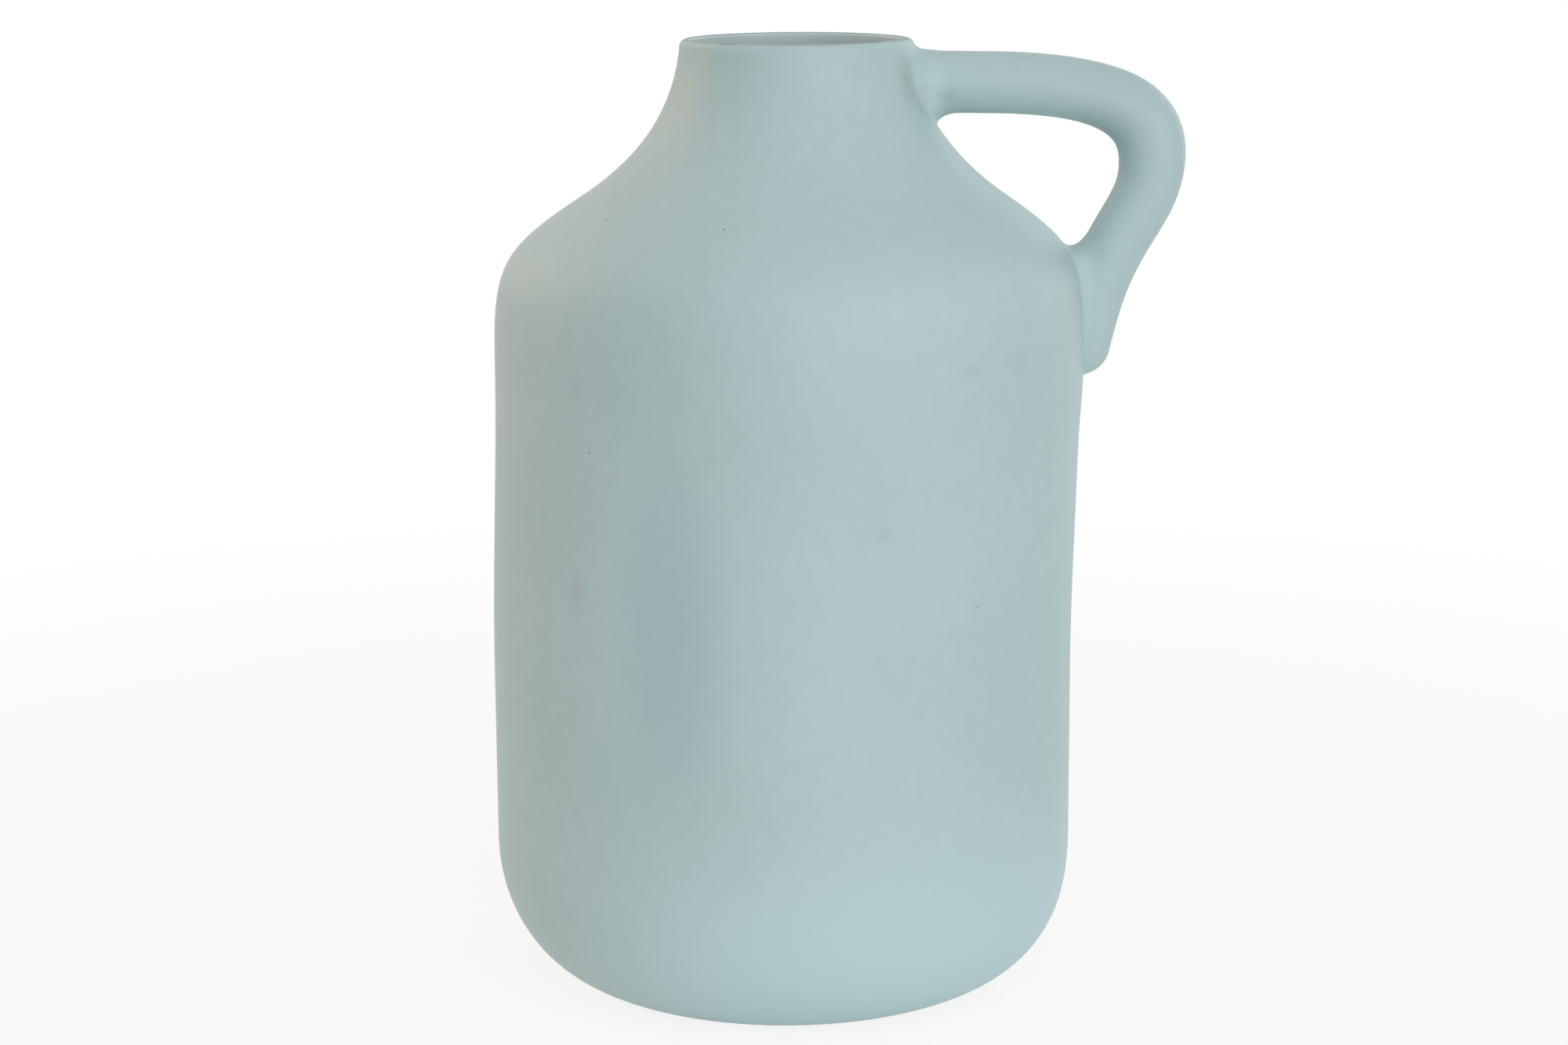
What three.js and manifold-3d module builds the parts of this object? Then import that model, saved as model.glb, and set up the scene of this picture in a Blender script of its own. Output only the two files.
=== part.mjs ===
// Stoneware vase with a side handle, as it is put together before the kiln: a hollow body, a solid rod
// handle, and the two beds of clay slip that lute the handle's ends to the neck and to the shoulder.
// Millimetres, +Z up. The origin is the centre of the flat foot, and the handle stands out along +X.
import * as THREE from 'three';
import { mergeVertices } from 'three/addons/utils/BufferGeometryUtils.js';
import Module from 'manifold-3d';

const wasm = await Module();
wasm.setup();

const degrees = Math.PI / 180;

// Outer shape of the body. Its heights are stacked from the foot to the top of the lip.
const footRadius = 62.3;
const bodyRadius = 92.5;
const heelHeight = 45.3; // from the foot to where the wall stands upright
const wallHeight = 158; // the upright wall
const shoulderHeight = 47.3; // from the wall's top to where the shoulder turns into the neck
const neckHeight = 47.1; // from that turn to the start of the lip
const lipOuterRound = 2.3;
const turnRadius = 67.2; // where the shoulder turns into the neck
const mouthRadius = 35.9; // outside of the neck, just under the lip
const heelRise = 12.3 * degrees; // the heel leaves the foot at this angle to the ground
const turnSlope = 55.9 * degrees; // the shoulder's lean from upright, where it is flattest
const neckTaper = 6 * degrees; // the neck's lean from upright, under the lip
// How far each curve runs on along its tangent before it turns
const heelFootPull = 15.1;
const heelWallPull = 28.5;
const shoulderWallPull = 27.5;
const shoulderTurnPull = 28.5;
const neckTurnPull = 19.5;
const neckLipPull = 22;

// Wall and floor
const lipInnerRound = 1;
const wallThickness = 5;
const floorThickness = 7;
const innerWallPull = 26; // of the rounded corner between the wall and the floor, inside
const innerFloorPull = 14;

// The pot leans towards its handle
const footShift = 1.4; // of the trimmed foot off the wall's axis
const leanStart = 101; // the wall stands true from the heel to this height
const wallLean = 2.3; // of the wall's top off its straight part
const neckLean = 2.7; // of the neck off the wall's top

// The handle's rod
const rodRadius = 9.6;
const bendSwell = 1.1; // extra radius where the rod bends down
const bendSwellLength = 16;
const bendSwellLead = 8; // from the thickest place on to the bend's outermost point
const armDrop = 13.6; // from the lip's top down to the upper arm's centre line at its root
const armLength = 24; // straight length of the upper arm outside the neck
const armFall = 1 * degrees; // the upper arm's fall towards the bend
const handleReach = 21.9; // from the wall's top out to the centre line at the bend
const bendDrop = 37.5; // from the lip's top down to the bend's outermost point
const elbowRise = 33; // from the wall's top up to the elbow
const elbowReach = 11.6; // from the wall's top out to the centre line at the elbow
const elbowSlope = 29 * degrees; // the rod's lean from upright at the elbow
const tailSlope = 13 * degrees; // the rod's lean from upright at its lower end
const tailDrop = 9.2; // from the wall's top down to the tip of the rod's round end
const tailSink = 2.3; // from the wall's surface in to the tip
// How far the rod's centre line runs on along its tangent before it turns
const bendInPull = 37;
const bendOutPull = 14.5;
const elbowInPull = 11;
const elbowOutPull = 14;
const tailPull = 24;

// The slip between the handle and the body, and the radius of the fillet that a finger leaves round
// each root: in the crotch of the finger gap, and on the side away from it
const slipThickness = 1;
const neckCrotchFillet = 3.6;
const neckTopFillet = 5;
const shoulderCrotchFillet = 3.8;
const shoulderTailFillet = 2.4;
const gap = 0.3; // between pieces that touch

// Fineness of the meshes: pieces round and along
const bodySides = 54;
const heelRings = 9;
const wallRings = 6;
const shoulderRings = 9;
const neckRings = 8;
const lipOuterRings = 3;
const lipInnerRings = 2;
const innerHeelRings = 7;
const rodSides = 22;
const rodStep = 4.5;
const rodEndRings = 5;
const rootSides = 36;
const filletRings = 6;

const wallTop = heelHeight + wallHeight;
const turnTop = wallTop + shoulderHeight;
const lipStart = turnTop + neckHeight;
const lipTop = lipStart + lipOuterRound;
const lipCentre = mouthRadius - lipOuterRound; // radius at which the lip is highest
const { lerp, smoothstep, mapLinear, clamp } = THREE.MathUtils;

function point(r, z) {
  return new THREE.Vector2(r, z);
}

// The point that lies a length up a line which leans in to the axis by an angle from upright
function upLine(from, angle, length) {
  return point(from.x - Math.sin(angle) * length, from.y + Math.cos(angle) * length);
}

function curvePoints(a, b, c, d, steps) {
  return new THREE.CubicBezierCurve(a, b, c, d).getPoints(steps);
}

function arcPoints(x, z, radius, from, to, steps) {
  return new THREE.EllipseCurve(x, z, radius, radius, from, to).getPoints(steps);
}

// Points of the outside, from the foot's edge up to the top of the lip
function outerProfile() {
  const foot = point(footRadius, 0);
  const wallStart = point(bodyRadius, heelHeight);
  const wallEnd = point(bodyRadius, wallTop);
  const turn = point(turnRadius, turnTop);
  const lip = point(mouthRadius, lipStart);
  const overFoot = upLine(foot, heelRise - Math.PI / 2, heelFootPull);
  const underWall = point(bodyRadius, heelHeight - heelWallPull);
  const overWall = point(bodyRadius, wallTop + shoulderWallPull);
  const underTurn = upLine(turn, turnSlope, -shoulderTurnPull);
  const overTurn = upLine(turn, turnSlope, neckTurnPull);
  const underLip = upLine(lip, neckTaper, -neckLipPull);
  return [
    ...curvePoints(foot, overFoot, underWall, wallStart, heelRings),
    ...new THREE.LineCurve(wallStart, wallEnd).getPoints(wallRings).slice(1),
    ...curvePoints(wallEnd, overWall, underTurn, turn, shoulderRings).slice(1),
    ...curvePoints(turn, overTurn, underLip, lip, neckRings).slice(1),
    ...arcPoints(lipCentre, lipStart, lipOuterRound, 0, Math.PI / 2, lipOuterRings).slice(1),
  ];
}

// Moves each point of a profile along its outward normal by the distance for its height
function offsetProfile(points, distanceAt) {
  return points.map((p, i) => {
    const before = points[Math.max(i - 1, 0)];
    const after = points[Math.min(i + 1, points.length - 1)];
    const along = after.clone().sub(before).normalize();
    const distance = distanceAt(p.y);
    return point(p.x + along.y * distance, p.y - along.x * distance);
  });
}

// The wall thins from its full thickness at the shoulder to the two rounds of the lip
function wallAt(z) {
  return lerp(wallThickness, lipOuterRound + lipInnerRound, smoothstep(z, wallTop, lipStart));
}

// Points of the inside, from the top of the lip down to the middle of the floor
function innerProfile() {
  const lipZ = lipTop - lipInnerRound;
  const lip = arcPoints(lipCentre, lipZ, lipInnerRound, Math.PI / 2, Math.PI, lipInnerRings);
  const wall = offsetProfile(outer, (z) => -wallAt(z))
    .filter((p, i) => outer[i].y >= heelHeight && outer[i].y < lipStart)
    .reverse();
  const wallEnd = wall[wall.length - 1];
  const floorEdge = point(footRadius - wallThickness, floorThickness);
  const underWall = point(wallEnd.x, wallEnd.y - innerWallPull);
  const overFloor = point(floorEdge.x + innerFloorPull, floorThickness);
  const heel = curvePoints(wallEnd, underWall, overFloor, floorEdge, innerHeelRings);
  return [...lip.slice(1), ...wall, ...heel.slice(1), point(0, floorThickness)];
}

// How far the pot's axis stands off the foot's centre at a height
function leanAt(z) {
  const overHeel = smoothstep(z, 0, heelHeight);
  const upWall = smoothstep(z, leanStart, wallTop);
  const upNeck = smoothstep(z, wallTop, (turnTop + lipStart) / 2);
  return wallLean * upWall + neckLean * upNeck - footShift * overHeel;
}

function solidOf(geometry) {
  geometry.deleteAttribute('normal');
  geometry.deleteAttribute('uv');
  const merged = mergeVertices(geometry, 1e-4);
  const mesh = new wasm.Mesh({
    numProp: 3,
    vertProperties: new Float32Array(merged.getAttribute('position').array),
    triVerts: new Uint32Array(merged.index.array),
  });
  return new wasm.Manifold(mesh);
}

// Moves each point of a geometry by a function of its place
function warp(geometry, move) {
  const position = geometry.getAttribute('position');
  const p = new THREE.Vector3();
  for (let i = 0; i < position.count; i++) {
    const moved = move(p.fromBufferAttribute(position, i));
    position.setXYZ(i, moved.x, moved.y, moved.z);
  }
  return geometry;
}

// Turns a profile round the pot's axis and leans it
function turnedSolid(profile) {
  const geometry = new THREE.LatheGeometry(profile, bodySides).rotateX(Math.PI / 2);
  return solidOf(warp(geometry, (p) => p.setX(p.x + leanAt(p.z))));
}

const outer = outerProfile();

function bodySolid() {
  return turnedSolid([point(0, 0), ...outer, ...innerProfile()]);
}

// The room that the body takes, filled in and grown by a distance: what another piece stays out of
function grownBody(distance) {
  const grown = offsetProfile(outer, () => distance);
  const top = grown[grown.length - 1];
  return turnedSolid([point(0, -distance), point(grown[0].x, -distance), ...grown, point(0, top.y)]);
}

function radiusAt(z) {
  const above = outer.findIndex((p, i) => i > 0 && p.y > z);
  const i = above < 0 ? outer.length - 1 : above;
  return mapLinear(z, outer[i - 1].y, outer[i].y, outer[i - 1].x, outer[i].x);
}

// Level distance from the body's surface out to a point
function outsideBody(p) {
  return Math.hypot(p.x - leanAt(p.z), p.y) - radiusAt(p.z);
}

function bodyNormal(p) {
  const step = 0.2;
  const slopeAlong = (axis) => {
    const shift = new THREE.Vector3().setComponent(axis, step);
    return outsideBody(p.clone().add(shift)) - outsideBody(p.clone().sub(shift));
  };
  return new THREE.Vector3(slopeAlong(0), slopeAlong(1), slopeAlong(2)).normalize();
}

// Drops a point that is near the body on to its surface
function ontoBody(p) {
  const normal = bodyNormal(p);
  return p.clone().addScaledVector(normal, -outsideBody(p) * Math.hypot(normal.x, normal.y));
}

// The rod's centre line, from inside the neck's wall to the tip of its lower end
function centreLine() {
  const at = (x, z) => new THREE.Vector3(x, 0, z);
  const outwards = (from, length) =>
    at(from.x + Math.cos(armFall) * length, from.z - Math.sin(armFall) * length);
  const downwards = (from, angle, length) =>
    at(from.x - Math.sin(angle) * length, from.z - Math.cos(angle) * length);
  const curve = (a, b, c, d) => new THREE.CubicBezierCurve3(a, b, c, d);
  const rootZ = lipTop - armDrop;
  const root = at(radiusAt(rootZ) + leanAt(rootZ), rootZ);
  const armEnd = outwards(root, armLength);
  const wallX = bodyRadius + leanAt(wallTop);
  const bend = at(wallX + handleReach, lipTop - bendDrop);
  const elbow = at(wallX + elbowReach, wallTop + elbowRise);
  const tipZ = wallTop - tailDrop;
  const tip = at(bodyRadius + leanAt(tipZ) - tailSink, tipZ);
  const overBend = downwards(bend, 0, -bendOutPull);
  const underBend = downwards(bend, 0, elbowInPull);
  const overElbow = downwards(elbow, elbowSlope, -elbowInPull);
  const underElbow = downwards(elbow, elbowSlope, elbowOutPull);
  const route = new THREE.CurvePath();
  route.add(new THREE.LineCurve3(outwards(root, -rodRadius), armEnd));
  route.add(curve(armEnd, outwards(armEnd, bendInPull), overBend, bend));
  route.add(curve(bend, underBend, overElbow, elbow));
  route.add(curve(elbow, underElbow, downwards(tip, tailSlope, -tailPull), tip));
  return route;
}

const line = centreLine();
const lineLength = line.getLength();
const bendPlace = line.getCurveLengths()[1];

// The rod's radius at a distance along the centre line, up to its round lower end
function rodRadiusAt(distance) {
  const fromThickest = (distance - bendPlace + bendSwellLead) / bendSwellLength;
  return rodRadius + bendSwell * Math.exp(-fromThickest * fromThickest);
}

// Half of the straight rod's outline, as (radius, distance along it), with the round lower end
function rodProfile(grow) {
  const roundStart = lineLength - rodRadius;
  const steps = Math.round(roundStart / rodStep);
  const side = [];
  for (let i = 0; i <= steps; i++) {
    const distance = (roundStart * i) / steps;
    side.push(point(rodRadiusAt(distance) + grow, distance));
  }
  const endRound = arcPoints(0, roundStart, rodRadius + grow, 0, Math.PI / 2, rodEndRings);
  endRound[rodEndRings].x = 0;
  return [point(0, 0), ...side, ...endRound.slice(1)];
}

// Carries a point from the straight rod to the bent one. The straight rod stands along y, with x
// towards the outside of the bend.
function bendPoint(p) {
  const share = clamp(p.y / lineLength, 0, 1);
  const along = line.getTangent(share);
  const outwards = along.clone().cross(new THREE.Vector3(0, 1, 0));
  const bent = line.getPoint(share).addScaledVector(outwards, p.x);
  bent.addScaledVector(along, p.y - share * lineLength);
  bent.y += p.z;
  return bent;
}

function rodSolid(grow) {
  return solidOf(warp(new THREE.LatheGeometry(rodProfile(grow), rodSides), bendPoint));
}

function handleSolid() {
  return rodSolid(0).subtract(grownBody(gap + slipThickness + gap));
}

// The straight rod's outline, whose points are asked for by their share of its length
function rodOutline() {
  const outline = new THREE.CurvePath();
  const points = rodProfile(0);
  for (let i = 1; i < points.length; i++) {
    outline.add(new THREE.LineCurve(points[i - 1], points[i]));
  }
  return outline;
}

const skin = rodOutline();
const skinLength = skin.getLength();
const skinMiddle = 0.5; // a share of the skin that is well outside the body

// A point on the bent rod's skin, at an angle round it from the outside of the bend
function skinPoint(share, angle) {
  const half = skin.getPoint(share);
  return bendPoint(new THREE.Vector3(half.x * Math.cos(angle), half.y, half.x * Math.sin(angle)));
}

// The share at which the skin leaves the body, sought from an end that is inside it
function leavingShare(end, angle) {
  let inside = end;
  let outside = skinMiddle;
  while (Math.abs(outside - inside) > 1e-8) {
    const middle = (inside + outside) / 2;
    if (outsideBody(skinPoint(middle, angle)) < 0) inside = middle;
    else outside = middle;
  }
  return outside;
}

// A point on the arc that rounds off a corner between two legs of like length
function roundedCorner(start, corner, end, share) {
  const opening = start.clone().sub(corner).angleTo(end.clone().sub(corner));
  const startWeight = (1 - share) ** 2;
  const cornerWeight = 2 * share * (1 - share) * Math.sin(opening / 2);
  const endWeight = share ** 2;
  const p = start.clone().multiplyScalar(startWeight);
  p.addScaledVector(corner, cornerWeight).addScaledVector(end, endWeight);
  return p.divideScalar(startWeight + cornerWeight + endWeight);
}

// The fillet's points at one angle round a root: from inside the body, over the fillet's arc, to
// inside the rod
function filletSection(end, angle, crotchRadius, awayRadius) {
  const share = leavingShare(end, angle);
  const onwards = Math.sign(skinMiddle - end) / skinLength; // a share 1 mm long, away from the body
  const aLittle = 1 * degrees;
  const corner = skinPoint(share, angle);
  const alongRod = skinPoint(share + onwards, angle).sub(corner).normalize();
  const roundRod = skinPoint(share, angle + aLittle).sub(corner);
  const rodCentre = bendPoint(new THREE.Vector3(0, skin.getPoint(share).y, 0));
  const rodNormal = alongRod.clone().cross(roundRod).normalize();
  if (rodNormal.dot(corner.clone().sub(rodCentre)) < 0) rodNormal.negate();
  const alongBody = rodNormal.clone().projectOnPlane(bodyNormal(corner)).normalize();
  const inCrotch = Math.sin(angle / 2) ** 4;
  const leg = lerp(awayRadius, crotchRadius, inCrotch) / Math.tan(alongRod.angleTo(alongBody) / 2);
  const belowLip = Math.max((lipStart - corner.z) / alongBody.z, gap);
  const bodyLeg = alongBody.z > 0 ? Math.min(leg, belowLip) : leg; // it ends under the lip
  const onRod = skinPoint(share + onwards * leg, angle);
  const onBody = ontoBody(corner.clone().addScaledVector(alongBody, bodyLeg));
  const section = [onBody.clone().addScaledVector(bodyNormal(onBody), -slipThickness)];
  for (let i = 0; i <= filletRings; i++) {
    section.push(roundedCorner(onBody, corner, onRod, i / filletRings));
  }
  section.push(onRod.clone().addScaledVector(rodNormal, -slipThickness));
  return section;
}

// Joins sections that go round a root into one skin, closed by a fan at each end
function closedSections(sections) {
  const count = sections.length;
  const rings = sections[0].length;
  const middle = (ring) =>
    sections.reduce((sum, section) => sum.add(section[ring]), new THREE.Vector3()).divideScalar(count);
  const points = [...sections.flat(), middle(0), middle(rings - 1)];
  const [firstPole, lastPole] = [points.length - 2, points.length - 1];
  const index = [];
  for (let j = 0; j < count; j++) {
    const here = j * rings;
    const next = ((j + 1) % count) * rings;
    index.push(firstPole, here, next, lastPole, next + rings - 1, here + rings - 1);
    for (let i = 0; i < rings - 1; i++) {
      index.push(here + i, here + i + 1, next + i, next + i, here + i + 1, next + i + 1);
    }
  }
  const geometry = new THREE.BufferGeometry().setFromPoints(points);
  geometry.setIndex(index);
  const solid = solidOf(geometry);
  if (solid.volume() > 0) return solid;
  geometry.setIndex(index.reverse()); // the sections went round the other way
  return solidOf(geometry);
}

function filletSolid(end, crotchRadius, awayRadius) {
  const sections = [];
  for (let j = 0; j < rootSides; j++) {
    sections.push(filletSection(end, (2 * Math.PI * j) / rootSides, crotchRadius, awayRadius));
  }
  return closedSections(sections);
}

// The slip at one end of the rod: its bed against the wall, and the fillet round it
function slipSolid(end, crotchRadius, awayRadius) {
  const bed = rodSolid(0).intersect(grownBody(gap + slipThickness));
  const rod = rodSolid(gap).subtract(grownBody(gap + slipThickness));
  const both = filletSolid(end, crotchRadius, awayRadius).add(bed).subtract(rod).subtract(grownBody(gap));
  const side = Math.sign(skinMiddle - end); // the first root lies above the bend, the other below it
  return both.trimByPlane([0, 0, side], side * (lipTop - bendDrop));
}

const clay = new THREE.MeshStandardMaterial({ color: 0xb3c9ca, roughness: 0.75, metalness: 0 });
const slip = new THREE.MeshStandardMaterial({ color: 0xaec6c8, roughness: 0.8, metalness: 0 });

function pieceOf(name, solid, material) {
  const mesh = solid.getMesh();
  const geometry = new THREE.BufferGeometry();
  geometry.setAttribute('position', new THREE.BufferAttribute(mesh.vertProperties, 3));
  geometry.setIndex(new THREE.BufferAttribute(mesh.triVerts, 1));
  geometry.computeVertexNormals();
  const piece = new THREE.Mesh(geometry, material);
  piece.name = name;
  return piece;
}

const vase = new THREE.Group();
vase.add(pieceOf('vase_body', bodySolid(), clay));
vase.add(pieceOf('handle', handleSolid(), clay));
vase.add(pieceOf('neck_slip_joint', slipSolid(0, neckCrotchFillet, neckTopFillet), slip));
vase.add(pieceOf('shoulder_slip_joint', slipSolid(1, shoulderCrotchFillet, shoulderTailFillet), slip));

export default vase;
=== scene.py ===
import math
import bpy
import numpy as np
from mathutils import Matrix, Vector


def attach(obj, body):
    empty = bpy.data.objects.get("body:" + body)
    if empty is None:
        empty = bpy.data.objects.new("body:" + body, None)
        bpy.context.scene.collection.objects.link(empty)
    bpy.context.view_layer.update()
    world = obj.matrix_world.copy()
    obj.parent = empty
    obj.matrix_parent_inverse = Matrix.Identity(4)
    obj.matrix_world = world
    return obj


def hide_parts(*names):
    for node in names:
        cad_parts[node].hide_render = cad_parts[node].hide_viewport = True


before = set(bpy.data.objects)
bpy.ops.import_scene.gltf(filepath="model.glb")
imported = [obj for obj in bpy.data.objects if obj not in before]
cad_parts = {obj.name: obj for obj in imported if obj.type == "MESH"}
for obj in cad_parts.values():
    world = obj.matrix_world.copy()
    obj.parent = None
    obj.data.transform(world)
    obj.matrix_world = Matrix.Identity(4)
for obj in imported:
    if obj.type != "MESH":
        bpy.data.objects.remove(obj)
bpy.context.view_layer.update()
mm = 0.001
print("frame loaded:", ", ".join(sorted(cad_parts)))

# Camera: as far off and as high as the picture was taken from, looking a little down on the shoulder
view = {
    "place": (-1.4 * mm, -1050 * mm, 361.1 * mm),
    "pitch": -11.559,  # degrees up from level
    "yaw": -0.043,  # degrees to the left
    "roll": -0.341,  # degrees, so that the picture's right side rises
    "focalLength": 76.9,  # in millimetres, as is the sensor
    "sensorWidth": 36,
    "clip": (0.01, 50),  # nearest and farthest distance that is drawn, in metres
}


def makeCamera():
    camera = bpy.data.objects.new("camera", bpy.data.cameras.new("camera"))
    bpy.context.scene.collection.objects.link(camera)
    camera.data.lens = view["focalLength"]
    camera.data.sensor_fit = "HORIZONTAL"
    camera.data.sensor_width = view["sensorWidth"]
    camera.data.clip_start, camera.data.clip_end = view["clip"]
    turn = Matrix.Rotation(math.radians(view["yaw"]), 4, "Z")
    turn @= Matrix.Rotation(math.radians(90 + view["pitch"]), 4, "X")
    turn @= Matrix.Rotation(math.radians(view["roll"]), 4, "Z")
    camera.matrix_world = Matrix.Translation(view["place"]) @ turn
    bpy.context.scene.camera = camera


makeCamera()
bpy.context.scene.view_settings.view_transform = "Standard"
print("camera set")


# Small tools for the modelling
def smoothstep(x, low, high):
    t = min(max((x - low) / (high - low), 0), 1)
    return t * t * (3 - 2 * t)


def bezier(a, b, c, d, steps):
    points = []
    for i in range(steps + 1):
        t = i / steps
        s = 1 - t
        points.append(s**3 * a + 3 * s**2 * t * b + 3 * s * t**2 * c + t**3 * d)
    return points


def arc(centre, radius, start, end, steps):
    points = []
    for i in range(steps + 1):
        angle = math.radians(start + (end - start) * i / steps)
        points.append(centre + radius * Vector((math.cos(angle), math.sin(angle))))
    return points


def leaning(angle):  # unit step up a line that leans in to the axis by an angle from upright
    return Vector((-math.sin(math.radians(angle)), math.cos(math.radians(angle))))


def selectOnly(piece):
    bpy.ops.object.select_all(action="DESELECT")
    piece.select_set(True)
    bpy.context.view_layer.objects.active = piece


def namePrimitive(name):  # names what was just added, and puts its place into its mesh
    piece = bpy.context.object
    piece.name = name
    piece.data.name = name
    bpy.ops.object.transform_apply(location=True, rotation=True, scale=True)
    return piece


def startRing(name, sides, radius, place, turn=(0, 0, 0)):
    bpy.ops.object.select_all(action="DESELECT")
    bpy.ops.mesh.primitive_circle_add(vertices=sides, radius=radius, location=place, rotation=turn)
    piece = namePrimitive(name)
    bpy.ops.object.mode_set(mode="EDIT")
    bpy.ops.mesh.select_all(action="SELECT")
    return piece


def nextRing(move, grow, centre, turn=0):
    bpy.ops.mesh.extrude_region_move(TRANSFORM_OT_translate={"value": move})
    bpy.ops.transform.resize(value=(grow, grow, grow), center_override=centre)
    if turn:  # without a window this operator turns the other way round
        bpy.ops.transform.rotate(value=-turn, orient_axis="Y", center_override=centre)


def closeRing():  # draws the ring that is selected together to one point
    bpy.ops.mesh.extrude_region_move()
    bpy.ops.mesh.merge(type="CENTER")


def selectOpenEdges():
    bpy.ops.mesh.select_all(action="DESELECT")
    bpy.ops.mesh.select_non_manifold()


def turnFacesOut():
    bpy.ops.mesh.select_all(action="SELECT")
    bpy.ops.mesh.normals_make_consistent(inside=False)
    bpy.ops.object.mode_set(mode="OBJECT")


def closeTube():  # draws the last ring together and gives the first a face
    closeRing()
    selectOpenEdges()
    bpy.ops.mesh.edge_face_add()
    turnFacesOut()


sharpAngle = 40  # degrees between two faces, over which their edge stays sharp


def finishPiece(piece, node, material):
    selectOnly(piece)
    bpy.ops.object.shade_smooth_by_angle(angle=math.radians(sharpAngle))
    piece.data.materials.append(material)
    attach(piece, "root")
    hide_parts(node)
    print(piece.name, "done:", len(piece.data.polygons), "faces")


# Materials
def linearColor(hexColor):  # from sRGB
    channels = [int(hexColor[i : i + 2], 16) / 255 for i in (1, 3, 5)]
    return [c / 12.92 if c <= 0.04045 else ((c + 0.055) / 1.055) ** 2.4 for c in channels] + [1]


# A setting is one of the node's own or the value of one of its sockets, and a link leads to a socket. Where
# two colours are mixed, sockets 6 and 7 are the colours, socket 0 the share, and output 2 what comes out.
def addNode(tree, kind, settings=None, links=None):
    node = tree.nodes.new(kind)
    for name, value in (settings or {}).items():
        if isinstance(name, str) and hasattr(node, name):
            setattr(node, name, value)
        else:
            node.inputs[name].default_value = value
    for name, source in (links or {}).items():
        tree.links.new(source, node.inputs[name])
    return node


easedRange = {"interpolation_type": "SMOOTHSTEP"}  # for a range that starts and ends softly

# Satin-matt stoneware glaze, dipped and fired over buff clay. It gives the eye an even, chalky blue-green
# with a soft sheen: cloudy where the coat is thicker, greyer over the lip where it thins and where painted
# shade stands for the lip's inner edge, with a pinhole here and there. Painted light makes the heel and the
# inside paler, and patches of painted light and shade lie on the wall, the handle and its roots. The foot is
# wiped bare, and shows the clay with the rings of the trimming tool.
glaze = {
    "thinColor": "#B5CECF",
    "thickColor": "#B8D0D2",
    "cloudSize": 70 * mm,
    "cloudEdges": (0.36, 0.64),
    "mottleSize": 5 * mm,
    "mottleShare": 0.035,
    "heelPaintedLight": "#BFDADE",  # painted light: the heel is paler, as if lit from the floor below, and fades out on the side away from the handle
    "heelHeights": (80 * mm, 20 * mm),
    "heelSide": (-80 * mm, -15 * mm),  # along the handle's direction, where it starts and is full
    "insidePaintedLight": "#D3E7E7",  # painted light: the inside is painted paler, as if more light fell into the mouth
    "insideDepth": (1 * mm, 3 * mm),  # from the outside, where the inner coat starts and is full
    "lipColor": "#98A6A4",  # darker over the lip's edge: the coat thinning there, and painted shade of the lip's inner edge
    "lipHeights": (299.6 * mm, 299.85 * mm),
    "lipShare": 1.6,
    "roughness": (0.46, 0.54),
    "grainSize": 1.4 * mm,  # the real matt grain is finer than a picture shows, so it is drawn this coarse
    "grainDepth": 0.004 * mm,
    "peelSize": 9 * mm,  # slow waves of the dried coat
    "peelDepth": 0.03 * mm,
    "pinholeSpacing": 26 * mm,
    "pinholeRadius": 0.4 * mm,
    "pinholeColor": "#87938F",
    "pinholeDepth": 0.15 * mm,
    "pinholeFloor": 0.5,  # share of its radius over which a pinhole has its full depth
    "markEdge": 1.1,  # a mark has faded out at this many times its reach
    "markWobble": 0.6,  # share of its reach by which a mark's edge is uneven
    "markWobbleSize": 2 * mm,
    "clayColor": "#C9BCA6",
    "clayDarkColor": "#B5A68F",
    "clayHeights": (0.9 * mm, 0.6 * mm),
    "clayRoughness": 0.85,
    "ringWidth": 1.6 * mm,
    "ringDepth": 0.12 * mm,
    "ringWander": 3 * mm,
    "speckSize": 1.2 * mm,  # dark specks in the bare clay
}

# Marks of this one pot, and painted shade beside the handle's root: place and reach in millimetres, colour
# and strength
marksAndPaintedShade = [
    # spots on the wall and shoulder where the coat dried unevenly
    ((29.2, -87.8, 160.5), (3.4, 3.4, 3.4), "#A6BDBE", 0.45),
    ((-63.2, -68.1, 140), (5, 5, 9), "#AEBEC2", 0.4),
    ((55, -75, 206.8), (6, 6, 3.5), "#ABC2C5", 0.35),
    ((70.3, -61.2, 206.5), (4, 4, 6), "#ABC2C5", 0.35),
    ((-22.3, -89.6, 183.8), (3.5, 3.5, 3.5), "#ABC4C6", 0.35),
    ((-62.1, -67.7, 201.3), (4, 4, 5), "#ABC1C4", 0.35),
    # darker patches beside the handle's upper root: painted shade of a hollow at the root, and smudged slip
    ((38.5, -17.3, 289), (6, 7, 11), "#9BAAA5", 0.5),
    ((42.5, -13.4, 281.5), (4, 7, 8), "#A0AFAB", 0.3),
    ((51, -9.1, 283.1), (4.5, 4, 3), "#A3B5B9", 0.3),
    # bare clay at a nick in the lip's edge
    ((-18.4, -25.8, 299.9), (1.7, 1.4, 0.7), "#6E685D", 0.5),
    ((-16.6, -27.2, 299.9), (1.7, 1.4, 0.7), "#625C52", 0.8),
    ((-14.5, -28.6, 299.9), (1.8, 1.4, 0.7), "#6E685D", 0.5),
    # single pinholes
    ((-17.9, -67.6, 248.2), (0.55, 0.55, 0.55), "#556160", 0.9),
    ((57.2, -72, 135), (0.5, 0.5, 0.5), "#556160", 0.9),
    ((-45.1, -38.7, 254.5), (0.6, 0.6, 0.6), "#85858F", 0.8),
    ((-53.5, -42.4, 248.4), (0.55, 0.55, 0.55), "#5C6866", 0.9),
    ((36.2, -83.3, 228), (0.5, 0.5, 0.5), "#8D9C9B", 0.5),
]
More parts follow.
